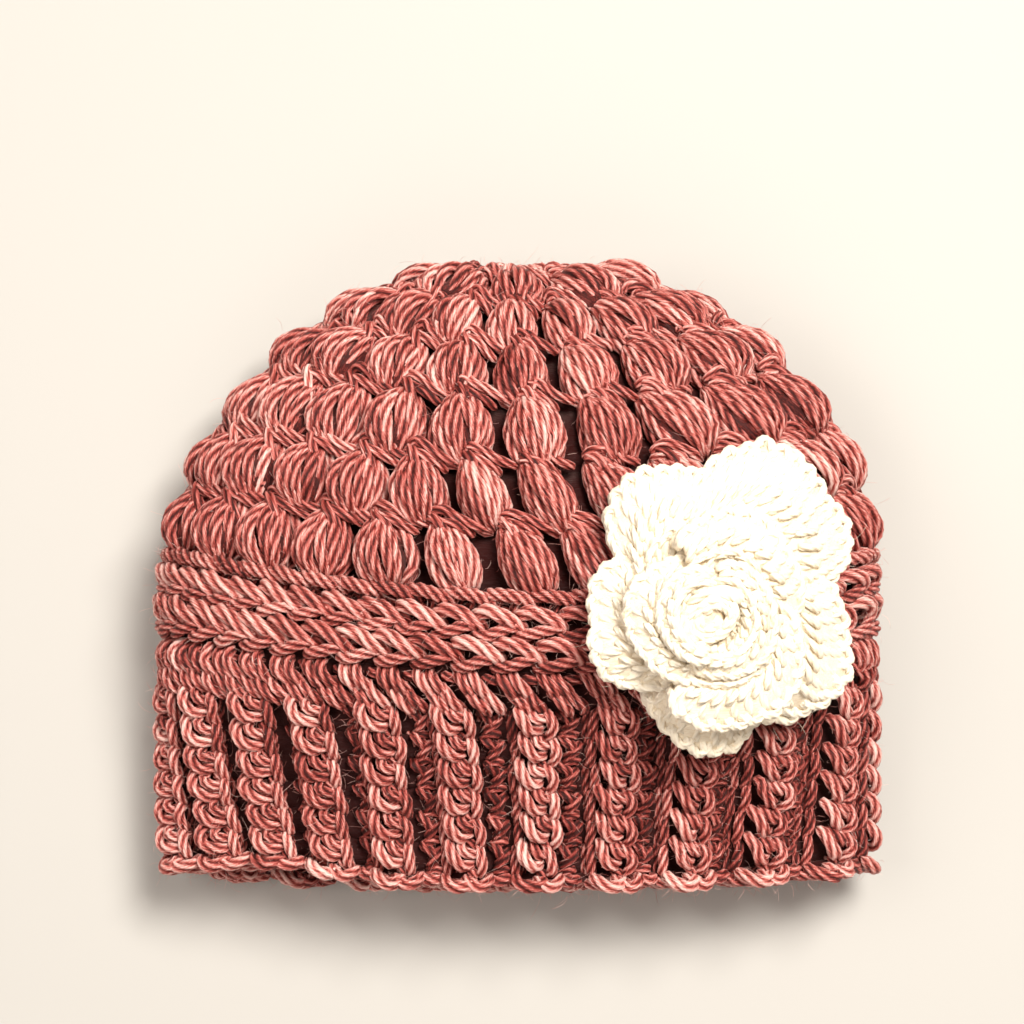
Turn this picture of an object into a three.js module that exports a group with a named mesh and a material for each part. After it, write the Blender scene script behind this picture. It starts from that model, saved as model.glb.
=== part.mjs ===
// A newborn's crocheted beanie with a crocheted rose sewn to one side, lying flat on its back layer.
// Millimetres. X runs across the hat, Y from the brim's mouth to the crown, Z up from the surface.
// Every crochet course is a closed ring of its own, and the rose is a sewn base with petals round a bud.

import * as THREE from "three";

// Driving dimensions of the hat.
const HALF_WIDTH = 77.5; // at the widest course, over the stitches
const CROWN_TIP = 68.4; // Y of the crown's outer tip
const CROWN_START = -6.1; // Y where the sides start to round in
const BRIM_EDGE = -64.1; // Y of the brim's edge at its side folds
const CROWN_TOP = 48; // height of the front layer over the crown
const CROWN_MIDDLE = 19; // height of the side folds there
const BRIM_TOP = 31; // the same two heights at the brim's edge
const BRIM_MIDDLE = 14;
const FLAT_PRESS = 1.2; // how far the back layer is pressed flat by the surface
const CROWN_SQUARE = 2.2; // superellipse powers of the front layer's section
const BRIM_SQUARE = 2.7;
const BACK_SQUARE = 3.2;
const FRONT_ROUNDING = 0.84; // how fast the front and the back close in at the crown's tip
const BACK_ROUNDING = 0.6;
const CROWN_SAG = 10.5; // how far the courses droop towards the mouth in the middle of the front
const BRIM_SAG = 3.2;
const SAG_SKEW = 0.15; // more of it on the rose's side
const CROWN_SHIFT = 2.4; // how far the crown leans to the rose's side
const BACK_DROP = 4.4; // how far the back layer's edge shows past the folds
const HEM_LIFT = 3.6; // the front hem's lift left of its middle
const HEM_LIFT_AT = -0.68;
const HEM_LIFT_SPREAD = 0.22;
const FRONT_FROM = -0.2; // shares of the front's rise between which its droop sets in
const FRONT_TO = 0.5;

// Courses, from the brim's edge to the crown.
const COURSE_GAP = 0.6;
const EDGE_HEIGHT = 3.8;
const RIB_ROUNDS = 6;
const RIB_HEIGHT = 6.05;
const RIBS = 22;
const JOIN_HEIGHT = 8.6;
const BRAID_HEIGHT = 6.5;
const PLAIN_HEIGHT = 4.1;
const PUFF_ROUNDS = [
  { height: 14.3, puffs: 24 },
  { height: 14.1, puffs: 24 },
  { height: 14.8, puffs: 20 },
  { height: 12.1, puffs: 18 },
  { height: 11.4, puffs: 16 },
  { height: 9, puffs: 8 },
];
const CLOSING_HEIGHT = 6.8;
const CLOSING_COLUMNS = 16;
const CLOSING_RINGS = [0, 0.4, 0.75]; // how far up the closing its rings of corners lie

// Wall insets: how far inside the hat's outer surface a point of a course lies.
const PUFF_WALL = 8.5;
const PUFF_EDGE = 2.2;
const PUFF_VALLEY = 1.5;
const RIB_DEPTH = 2.8;
const RIB_WALL = 6.6;
const BAND_WALL = 6.8;
const HEM_EDGE = 1.2;
const JOIN_FACE = 0.8;
const BRAID_EDGE = 2.4;
const RECESS = 2.4;
const BAND_COLUMNS = 44;
const COLUMNS_PER_RIB = 4;

// How finely a section and the middle line of the front are measured before they are divided evenly.
const SECTION_STEPS = 360;
const SECTION_DIVISIONS = 1440;
const LINE_STEPS = 800;

// The rose, in its own frame: Z out of the hat, X and Y along the hat's surface.
const ROSE_X = 35;
const ROSE_Y = -11.6;
const ROSE_TILT = 10; // degrees, the slope of the hat under it
const ROSE_STANDOFF = 0.8;
const BASE_RADIUS = 14.5;
const BASE_THICK = 2.8;
const PETAL_THICK = 3;
const PETAL_GAP = 2.2; // degrees between neighbouring petals
const OUTER_PETALS = [
  { from: 18, to: 84, reach: 40, droop: 6, lean: 0 },
  { from: 84, to: 141, reach: 31, droop: 3.5, lean: -0.14 },
  { from: 141, to: 239, reach: 22, droop: 2, lean: -0.07 },
  { from: 239, to: 310, reach: 25.5, droop: 4.5, lean: 0.1 },
  { from: 310, to: 378, reach: 33, droop: 5, lean: 0.03 },
];
const OUTER_LAYER = { start: 8.5, low: 6.6, high: 7.6, crown: 2 };
const MIDDLE_PETALS = [
  { from: 0, to: 105, reach: 22.5 },
  { from: 105, to: 250, reach: 15.5 },
  { from: 250, to: 360, reach: 22.5 },
];
const MIDDLE_LAYER = { start: 6.8, low: 11.6, high: 14, crown: 1.2 };
const INNER_PETALS = [
  { from: 75, to: 255, reach: 10.5 },
  { from: 255, to: 435, reach: 13 },
];
const INNER_LAYER = { start: 6.4, low: 16.4, high: 17.6, crown: 0.8 };
const PETAL_COLUMNS = 8;
const PETAL_ROWS = 4;
const PETAL_SHOULDER = 0.34; // how much shorter a petal is at its sides than in its middle
const SHOULDER_POWER = 2.6;
const PETAL_EDGE = 0.7; // a petal's thickness at its root and rim, as a share of its own
const BASE_BEVEL = 1;
const BASE_SEGMENTS = 20;
const BUD_RADIUS = 5.2;
const BUD_FOOT = 0.4; // the bud's height over the base
const BUD_BEVEL = 1.2;
const BUD_ROUNDING = 3; // where the bud's top starts to close in, below its tip
const BUD_CAP = { radius: 3.6, drop: 0.8 };
const BUD_TOP = 19.4;
const BUD_SEGMENTS = 14;

const PINK_YARN = { color: 0xb9706a, roughness: 0.72, metalness: 0 };
const CREAM_YARN = { color: 0xf7eddd, roughness: 0.8, metalness: 0 };

const { lerp, clamp, smoothstep, degToRad } = THREE.MathUtils;

// Signed power, for superellipses.
function bend(value, power) {
  return Math.sign(value) * Math.abs(value) ** power;
}

// The wall's section at a station: -1 is the brim's edge, 0 where the crown starts, 1 the crown's tip.
function wallAt(station, inset) {
  const brim = clamp(-station, 0, 1);
  const turn = Math.max(station, 0) * (Math.PI / 2);
  const ease = smoothstep(brim, 0, 1);
  const middle = lerp(CROWN_MIDDLE, BRIM_MIDDLE, ease);
  const top = lerp(CROWN_TOP, BRIM_TOP, ease);
  const skirtY = lerp(CROWN_START, BRIM_EDGE, brim);
  const crownY = (CROWN_TIP - inset - CROWN_START) * Math.sin(turn);
  return {
    y: skirtY + crownY,
    halfWidth: (HALF_WIDTH - inset) * Math.cos(turn),
    middle,
    rise: (top - middle - inset) * Math.cos(turn) ** FRONT_ROUNDING,
    drop: (middle + FLAT_PRESS - inset) * Math.cos(turn) ** BACK_ROUNDING,
    floor: inset,
    square: lerp(CROWN_SQUARE, BRIM_SQUARE, ease),
    sag: lerp(BRIM_SAG, CROWN_SAG, (1 - brim) ** 3) * Math.cos(turn),
    shift: CROWN_SHIFT * Math.sin(2 * turn),
    brim,
  };
}

// Moves a point of a section: the front droops, the back shows past it, the hem lifts, the crown leans.
function drape(point, wall) {
  const across = clamp(point.x / wall.halfWidth, -1, 1);
  const front = smoothstep((point.z - wall.middle) / wall.rise, FRONT_FROM, FRONT_TO);
  const sag = wall.sag * (1 - across ** 2) * (1 + SAG_SKEW * across);
  const lift = HEM_LIFT * wall.brim ** 6 * Math.exp(-(((across - HEM_LIFT_AT) / HEM_LIFT_SPREAD) ** 2));
  const drop = BACK_DROP * wall.brim ** 2 * (1 - across ** 4);
  point.x += wall.shift;
  point.y += front * (lift - sag) - (1 - front) * drop;
  return point;
}

// Evenly spaced points round the wall at a station, from the middle of the back, by way of +X.
function section(station, inset, columns) {
  const wall = wallAt(station, inset);
  const fine = [];
  for (let i = 0; i < SECTION_STEPS; i++) {
    const angle = (i / SECTION_STEPS) * 2 * Math.PI - Math.PI / 2;
    const front = Math.sin(angle) > 0;
    const power = 2 / (front ? wall.square : BACK_SQUARE);
    const height = (front ? wall.rise : wall.drop) * bend(Math.sin(angle), power);
    const z = Math.max(wall.middle + height, wall.floor);
    fine.push(new THREE.Vector3(wall.halfWidth * bend(Math.cos(angle), power), wall.y, z));
  }
  const outline = new THREE.CatmullRomCurve3(fine, true, "catmullrom", 0);
  outline.arcLengthDivisions = SECTION_DIVISIONS;
  const points = outline.getSpacedPoints(columns).slice(0, columns);
  return points.map((point) => {
    point.z = Math.max(point.z, wall.floor);
    return drape(point, wall);
  });
}

// Distance along the middle of the front, from the brim's edge, turned into a station.
const centreLine = [];
for (let i = 0; i <= LINE_STEPS; i++) {
  const station = (2 * i) / LINE_STEPS - 1;
  const wall = wallAt(station, 0);
  const point = new THREE.Vector2(wall.y - wall.sag, wall.middle + wall.rise);
  const before = centreLine.at(-1);
  const length = before ? before.length + before.point.distanceTo(point) : 0;
  centreLine.push({ station, point, length });
}

function stationAt(distance) {
  const after = Math.max(centreLine.findIndex((mark) => mark.length >= distance), 1);
  const [a, b] = [centreLine[after - 1], centreLine[after]];
  return lerp(a.station, b.station, (distance - a.length) / (b.length - a.length));
}

// A closed ring: its profile's corners are {along: 0 to 1 up the course, inset: by column}.
function ringCourse(start, height, columns, profile) {
  const low = start + COURSE_GAP / 2;
  const high = start + height - COURSE_GAP / 2;
  const rings = profile.map(({ along, inset }) => {
    const station = stationAt(lerp(low, high, along));
    const byInset = new Map();
    return Array.from({ length: columns }, (_, column) => {
      const depth = inset(column);
      if (!byInset.has(depth)) byInset.set(depth, section(station, depth, columns));
      return byInset.get(depth)[column];
    });
  });
  const positions = rings.flat().flatMap((point) => point.toArray());
  const faces = [];
  for (let i = 0; i < rings.length; i++) {
    const next = (i + 1) % rings.length;
    for (let j = 0; j < columns; j++) {
      const right = (j + 1) % columns;
      const corners = [i * columns + j, i * columns + right, next * columns + right, next * columns + j];
      faces.push(corners[0], corners[2], corners[1], corners[0], corners[3], corners[2]);
    }
  }
  return indexed(positions, faces);
}

function indexed(positions, faces) {
  const geometry = new THREE.BufferGeometry();
  geometry.setAttribute("position", new THREE.Float32BufferAttribute(positions, 3));
  geometry.setIndex(faces);
  geometry.computeVertexNormals();
  return geometry;
}

const steady = (inset) => () => inset;

// A plain band of the given wall, with its outer edges set in.
function bandProfile(edge, face, wall) {
  return [
    { along: 0, inset: steady(edge) },
    { along: 0.5, inset: steady(face) },
    { along: 1, inset: steady(edge) },
    { along: 1, inset: steady(wall) },
    { along: 0, inset: steady(wall) },
  ];
}

// One round of the ribbed brim: raised ribs and valleys, on both faces.
function ribProfile() {
  const valley = (column) => (column % COLUMNS_PER_RIB >= COLUMNS_PER_RIB / 2 ? RIB_DEPTH : 0);
  return [
    { along: 0, inset: (column) => valley(column) },
    { along: 1, inset: (column) => valley(column) },
    { along: 1, inset: (column) => valley(column) + RIB_WALL },
    { along: 0, inset: (column) => valley(column) + RIB_WALL },
  ];
}

// One round of puffs: a crest for each puff and a valley between neighbours.
function puffProfile() {
  const valley = (column) => (column % 2 ? PUFF_VALLEY : 0);
  return [
    { along: 0, inset: (column) => PUFF_EDGE + valley(column) },
    { along: 0.5, inset: (column) => valley(column) },
    { along: 1, inset: (column) => PUFF_EDGE + valley(column) },
    { along: 1, inset: steady(PUFF_WALL) },
    { along: 0, inset: steady(PUFF_WALL) },
  ];
}

// The stitches drawn together over the crown's tip: a thick cap, rounded outside and inside.
function closingCap(start) {
  const columns = CLOSING_COLUMNS;
  const foot = start + COURSE_GAP / 2;
  const stations = CLOSING_RINGS.map((share) => stationAt(foot + share * CLOSING_HEIGHT));
  const outside = stations.flatMap((station, ring) => {
    return section(station, ring ? PUFF_EDGE / 2 : PUFF_EDGE, columns);
  });
  const inside = stations.flatMap((station) => section(station, PUFF_WALL, columns));
  const tip = new THREE.Vector3(0, CROWN_TIP, CROWN_MIDDLE);
  const hollow = new THREE.Vector3(0, CROWN_TIP - PUFF_WALL, CROWN_MIDDLE);
  const positions = [...outside, ...inside, tip, hollow].flatMap((point) => point.toArray());
  const faces = [];
  const under = outside.length;
  const top = outside.length - columns;
  for (let j = 0; j < columns; j++) {
    const right = (j + 1) % columns;
    for (let i = 0; i < top; i += columns) {
      const corners = [i + j, i + right, i + columns + right, i + columns + j];
      faces.push(corners[0], corners[2], corners[1], corners[0], corners[3], corners[2]);
      const back = corners.map((corner) => corner + under);
      faces.push(back[0], back[1], back[2], back[0], back[2], back[3]);
    }
    faces.push(top + j, 2 * under, top + right);
    faces.push(under + top + j, under + top + right, 2 * under + 1);
    faces.push(j, right, under + right, j, under + right, under + j);
  }
  return indexed(positions, faces);
}

function addMesh(group, name, geometry, finish) {
  const mesh = new THREE.Mesh(geometry, new THREE.MeshStandardMaterial(finish));
  mesh.name = name;
  group.add(mesh);
  return mesh;
}

function buildHat(group) {
  let distance = 0;
  const addCourse = (name, height, columns, profile) => {
    addMesh(group, name, ringCourse(distance, height, columns, profile), PINK_YARN);
    distance += height;
  };
  addCourse("brim_edge", EDGE_HEIGHT, BAND_COLUMNS, bandProfile(HEM_EDGE, 0, BAND_WALL));
  for (let round = 1; round <= RIB_ROUNDS; round++)
    addCourse(`rib_round_${round}`, RIB_HEIGHT, RIBS * COLUMNS_PER_RIB, ribProfile());
  addCourse("join_round", JOIN_HEIGHT, BAND_COLUMNS, bandProfile(RECESS, JOIN_FACE, BAND_WALL));
  addCourse("braid_lower", BRAID_HEIGHT, BAND_COLUMNS, bandProfile(BRAID_EDGE, 0, BAND_WALL));
  addCourse("braid_upper", BRAID_HEIGHT, BAND_COLUMNS, bandProfile(BRAID_EDGE, 0, BAND_WALL));
  addCourse("plain_round", PLAIN_HEIGHT, BAND_COLUMNS, bandProfile(RECESS, RECESS / 2, BAND_WALL));
  const left = centreLine.at(-1).length - distance - CLOSING_HEIGHT;
  const planned = PUFF_ROUNDS.reduce((sum, { height }) => sum + height, 0);
  PUFF_ROUNDS.forEach(({ height, puffs }, index) => {
    addCourse(`puff_round_${index + 1}`, (height * left) / planned, 2 * puffs, puffProfile());
  });
  addMesh(group, "crown_closing", closingCap(distance), PINK_YARN);
}

// A closed sheet between two grids of points.
function slab(top, bottom, columns, rows) {
  const count = (columns + 1) * (rows + 1);
  const at = (i, j) => i * (rows + 1) + j;
  const faces = [];
  const quad = (a, b, c, d) => faces.push(a, b, c, a, c, d);
  for (let i = 0; i < columns; i++)
    for (let j = 0; j < rows; j++) {
      quad(at(i, j), at(i, j + 1), at(i + 1, j + 1), at(i + 1, j));
      quad(count + at(i, j), count + at(i + 1, j), count + at(i + 1, j + 1), count + at(i, j + 1));
    }
  for (let i = 0; i < columns; i++) {
    quad(at(i, 0), at(i + 1, 0), count + at(i + 1, 0), count + at(i, 0));
    quad(at(i + 1, rows), at(i, rows), count + at(i, rows), count + at(i + 1, rows));
  }
  for (let j = 0; j < rows; j++) {
    quad(at(0, j + 1), at(0, j), count + at(0, j), count + at(0, j + 1));
    quad(at(columns, j), at(columns, j + 1), count + at(columns, j + 1), count + at(columns, j));
  }
  return indexed([...top, ...bottom].flatMap((point) => point.toArray()), faces);
}

// A petal: a lobe between two angles that rises from the bud and rolls over at its rim.
function petalGeometry({ from, to, reach, droop = 0, lean = 0 }, layer) {
  const top = [];
  const bottom = [];
  for (let i = 0; i <= PETAL_COLUMNS; i++) {
    const side = (2 * i) / PETAL_COLUMNS - 1;
    const angle = degToRad(lerp(from + PETAL_GAP / 2, to - PETAL_GAP / 2, i / PETAL_COLUMNS));
    const shoulder = PETAL_SHOULDER * (reach - layer.start) * Math.abs(side) ** SHOULDER_POWER;
    const end = reach * (1 + lean * side) - shoulder;
    for (let j = 0; j <= PETAL_ROWS; j++) {
      const out = j / PETAL_ROWS;
      const radius = lerp(layer.start, end, out);
      const swell = layer.crown * Math.sin(Math.PI * out) * (1 - side ** 2);
      const height = lerp(layer.low, layer.high, out) - droop * out ** 2 + swell;
      const half = (PETAL_THICK / 2) * (out === 1 || out === 0 ? PETAL_EDGE : 1);
      const [x, y] = [radius * Math.cos(angle), radius * Math.sin(angle)];
      top.push(new THREE.Vector3(x, y, height + half));
      bottom.push(new THREE.Vector3(x, y, height - half));
    }
  }
  return slab(top, bottom, PETAL_COLUMNS, PETAL_ROWS);
}

function turned(profile, segments) {
  const points = profile.map(([radius, height]) => new THREE.Vector2(radius, height));
  const geometry = new THREE.LatheGeometry(points, segments);
  return geometry.rotateX(Math.PI / 2);
}

function buildRose(group) {
  const rose = new THREE.Group();
  const low = ROSE_STANDOFF;
  const high = ROSE_STANDOFF + BASE_THICK;
  const base = [
    [0, low],
    [BASE_RADIUS - BASE_BEVEL, low],
    [BASE_RADIUS, (low + high) / 2],
    [BASE_RADIUS - BASE_BEVEL, high],
    [0, high],
  ];
  addMesh(rose, "rose_base", turned(base, BASE_SEGMENTS), CREAM_YARN);
  const rows = [
    ["outer_petal", OUTER_PETALS, OUTER_LAYER],
    ["middle_petal", MIDDLE_PETALS, MIDDLE_LAYER],
    ["inner_petal", INNER_PETALS, INNER_LAYER],
  ];
  for (const [name, petals, layer] of rows)
    petals.forEach((petal, index) => {
      addMesh(rose, `${name}_${index + 1}`, petalGeometry(petal, layer), CREAM_YARN);
    });
  const foot = high + BUD_FOOT;
  const bud = [
    [0, foot],
    [BUD_RADIUS - BUD_BEVEL, foot],
    [BUD_RADIUS, foot + BUD_BEVEL],
    [BUD_RADIUS, BUD_TOP - BUD_ROUNDING],
    [BUD_CAP.radius, BUD_TOP - BUD_CAP.drop],
    [0, BUD_TOP],
  ];
  addMesh(rose, "rose_bud", turned(bud, BUD_SEGMENTS), CREAM_YARN);
  const surface = section(0, 0, 2 * SECTION_STEPS).filter((point) => point.z > CROWN_MIDDLE);
  const under = surface.reduce((a, b) => (Math.abs(a.x - ROSE_X) < Math.abs(b.x - ROSE_X) ? a : b));
  rose.position.set(ROSE_X, ROSE_Y, under.z);
  rose.rotation.y = degToRad(ROSE_TILT);
  group.add(rose);
}

const beanie = new THREE.Group();
buildHat(beanie);
buildRose(beanie);

export default beanie;
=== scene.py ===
"""Looks of the crocheted baby beanie: every visible strand of yarn is swept along its own path.

Lengths are in millimetres until a mesh is written. A stitch is laid out flat, in its own (right, up,
out) coordinates, and then placed on the hat's wall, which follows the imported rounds. The rose is
built the same way on the surfaces of its petals.
"""

import math

import bpy
import numpy as np
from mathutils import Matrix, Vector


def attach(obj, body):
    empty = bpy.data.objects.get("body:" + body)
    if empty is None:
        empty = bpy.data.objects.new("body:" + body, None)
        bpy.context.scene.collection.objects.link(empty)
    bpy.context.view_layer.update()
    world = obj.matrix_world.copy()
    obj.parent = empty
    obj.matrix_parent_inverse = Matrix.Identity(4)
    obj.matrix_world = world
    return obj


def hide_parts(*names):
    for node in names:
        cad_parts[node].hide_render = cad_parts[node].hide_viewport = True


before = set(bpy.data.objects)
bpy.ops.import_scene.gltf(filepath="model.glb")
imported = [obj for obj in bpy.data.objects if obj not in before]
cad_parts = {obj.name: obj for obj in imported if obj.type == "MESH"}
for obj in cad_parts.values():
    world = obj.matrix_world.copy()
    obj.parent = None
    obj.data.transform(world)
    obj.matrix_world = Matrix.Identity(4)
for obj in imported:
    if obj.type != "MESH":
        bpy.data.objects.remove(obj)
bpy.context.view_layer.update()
rng = np.random.default_rng(20)
MM = 0.001

# ------------------------------------------------------------------ the hat's wall, as the rounds have it
HALF_WIDTH = 77.5
CROWN_TIP = 68.4
CROWN_START = -6.1
BRIM_EDGE = -64.1
CROWN_TOP, BRIM_TOP = 48.0, 31.0
CROWN_MIDDLE, BRIM_MIDDLE = 19.0, 14.0
FLAT_PRESS = 1.2
CROWN_SQUARE, BRIM_SQUARE, BACK_SQUARE = 2.2, 2.7, 3.2
FRONT_ROUNDING, BACK_ROUNDING = 0.84, 0.6
CROWN_SAG, BRIM_SAG, SAG_SKEW = 10.5, 3.2, 0.15
CROWN_SHIFT = 2.4
BACK_DROP = 4.4  # how far the back layer's hem stands out under the front's
HEM_LIFT, HEM_LIFT_AT, HEM_LIFT_SPREAD = 3.6, -0.68, 0.22
PROBE = 8.5  # the depth at which the wall is measured a second time
# Stations run from -1 at the brim's edge by way of 0, where the crown starts, to 1 at its tip.
STATIONS = np.concatenate([np.linspace(-1, 0, 121), np.linspace(0, 0.9995, 241)[1:]])
COLUMNS = 360

EDGE_HEIGHT = 3.8
RIB_ROUNDS, RIB_HEIGHT, RIBS = 6, 6.05, 22
JOIN_HEIGHT = 8.6
BRAID_HEIGHT = 6.5
PLAIN_HEIGHT = 4.1
BAND_STITCHES = 44
PUFF_HEIGHTS = (14.3, 14.1, 14.8, 12.1, 11.4, 9.0)
PUFF_COUNTS = (24, 24, 20, 18, 16, 8)
PUFF_PHASES = (0.03, 0.7, -0.06, 0.14, 0.3, 0.1)
PUFF_LEANS = (1.0, 0.9, 0.65, 0.45, 0.3, 0.2)
CLOSING_HEIGHT = 6.8


def smooth(value, low, high):
    t = np.clip((value - low) / (high - low), 0, 1)
    return t * t * (3 - 2 * t)


def lerp(a, b, t):
    return a + (b - a) * t


def wall_at(station, inset):
    """The measures of the flattened section at a station, an inset inside the outer face."""
    brim, turn = min(max(-station, 0), 1), max(station, 0) * math.pi / 2
    ease = smooth(brim, 0, 1)
    middle, top = lerp(CROWN_MIDDLE, BRIM_MIDDLE, ease), lerp(CROWN_TOP, BRIM_TOP, ease)
    close = math.cos(turn)
    return {
        "y": lerp(CROWN_START, BRIM_EDGE, brim) + (CROWN_TIP - inset - CROWN_START) * math.sin(turn),
        "half": (HALF_WIDTH - inset) * close,
        "middle": middle,
        "rise": (top - middle - inset) * close**FRONT_ROUNDING,
        "drop": (middle + FLAT_PRESS - inset) * close**BACK_ROUNDING,
        "floor": inset,
        "square": lerp(CROWN_SQUARE, BRIM_SQUARE, ease),
        "sag": lerp(BRIM_SAG, CROWN_SAG, (1 - brim) ** 3) * close,
        "shift": CROWN_SHIFT * math.sin(2 * turn),
        "brim": brim,
    }


def section(station, inset):
    """Evenly spaced points round the wall, from the back's middle by way of +X, and its perimeter."""
    w = wall_at(station, inset)
    angle = np.linspace(-math.pi / 2, 1.5 * math.pi, 721)
    front = np.sin(angle) > 0
    power = 2 / np.where(front, w["square"], BACK_SQUARE)
    wide = np.sign(np.cos(angle)) * np.abs(np.cos(angle)) ** power
    high = np.sign(np.sin(angle)) * np.abs(np.sin(angle)) ** power
    x = w["half"] * wide
    z = np.maximum(w["middle"] + np.where(front, w["rise"], w["drop"]) * high, w["floor"])
    length = np.concatenate([[0], np.cumsum(np.hypot(np.diff(x), np.diff(z)))])
    at = np.linspace(0, length[-1], COLUMNS, endpoint=False)
    x, z = np.interp(at, length, x), np.interp(at, length, z)
    across = np.clip(x / w["half"], -1, 1)
    front = smooth((z - w["middle"]) / w["rise"], -0.2, 0.5)
    sag = w["sag"] * (1 - across**2) * (1 + SAG_SKEW * across)
    lift = HEM_LIFT * w["brim"] ** 6 * np.exp(-(((across - HEM_LIFT_AT) / HEM_LIFT_SPREAD) ** 2))
    drop = BACK_DROP * w["brim"] ** 2 * (1 - across**4)
    y = w["y"] + front * (lift - sag) - (1 - front) * drop
    return np.stack([x + w["shift"], y, z], 1), length[-1]


def measure_wall():
    """The wall's outer and inner points, the length up the front, and the perimeter at each station."""
    outer = [section(s, 0) for s in STATIONS]
    inner = [section(s, PROBE) for s in STATIONS]
    grid = np.array([[points for points, _ in outer], [points for points, _ in inner]])
    walls = [wall_at(s, 0) for s in STATIONS]
    line = np.array([(w["y"] - w["sag"], w["middle"] + w["rise"]) for w in walls])
    length = np.concatenate([[0], np.cumsum(np.hypot(*np.diff(line, axis=0).T))])
    return grid, length, np.array([around for _, around in outer])


WALL, ALONG, AROUND = measure_wall()


def perimeter(along):
    return np.interp(along, ALONG, AROUND)


def on_wall(along, turn, depth):
    """The point at a distance up the front, a turn of 0 to 1 round the hat, and a depth in its fabric."""
    row = np.interp(along, ALONG, np.arange(len(ALONG)))
    i = np.minimum(row.astype(int), len(ALONG) - 2)
    f = (row - i)[..., None]
    column = (turn % 1) * COLUMNS
    j = column.astype(int) % COLUMNS
    g = (column - np.floor(column))[..., None]
    k = (j + 1) % COLUMNS
    top, low = (lerp(lerp(w[i, j], w[i, k], g), lerp(w[i + 1, j], w[i + 1, k], g), f) for w in WALL)
    return lerp(top, low, (depth / PROBE)[..., None])


# ------------------------------------------------------------------ yarn
PLIES = 4
SIDES = 4 * PLIES
PLY_SHAPE = np.tile([0.66, 0.93, 1.02, 0.93], PLIES)
# Painted shade and highlight round a strand: 1 darkens the groove between plies, -0.4 lightens a ply's
# crest.
PLY_LIGHT_AND_SHADE = np.tile([1.0, 0.1, -0.4, 0.1], PLIES)
STEP = 0.8  # between a strand's rings
PLY_PITCH, PUFF_PITCH = 10.0, 18.0  # how far a strand runs while its plies turn once
SMOOTH_PITCH = 50.0  # the same for a tube that has no plies
STRAND_TAPER = 0.3
TONE_SPREAD = 0.09  # from strand to strand
LOOSE_TONE = (0.53, 0.1)  # the mean and spread where a strand has no tone of its own
YARN_LENGTH = 900.0  # of which each strand shows a stretch
FLOOR_GAP = 0.05
FIBRE_LENGTH, FIBRE_RADIUS, FIBRE_POINTS = 2.6, 0.026, 6
FIBRE_SPREAD, FIBRE_CURL = 0.75, 0.55
FIBRE_TONES = (0.6, 1.0)
FIBRE_FLOOR_GAP = 0.15
ROSE_FIBRE_LENGTH, PETAL_FIBRE_LENGTH = 3.0, 3.5


def unit(v):
    return v / np.maximum(np.linalg.norm(v, axis=-1, keepdims=True), 1e-9)


def spline(corners, count):
    """Weights that turn evenly spaced corners into points of a smooth curve through them."""
    t = np.linspace(0, corners - 1, count)
    i = np.minimum(t.astype(int), corners - 2)
    f = t - i
    weights = np.zeros((count, corners))
    parts = (
        (-1, (-f + 2 * f**2 - f**3) / 2),
        (0, (2 - 5 * f**2 + 3 * f**3) / 2),
        (1, (f + 4 * f**2 - 3 * f**3) / 2),
        (2, (f**3 - f**2) / 2),
    )
    for shift, part in parts:
        np.add.at(weights, (np.arange(count), np.clip(i + shift, 0, corners - 1)), part)
    return weights


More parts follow.
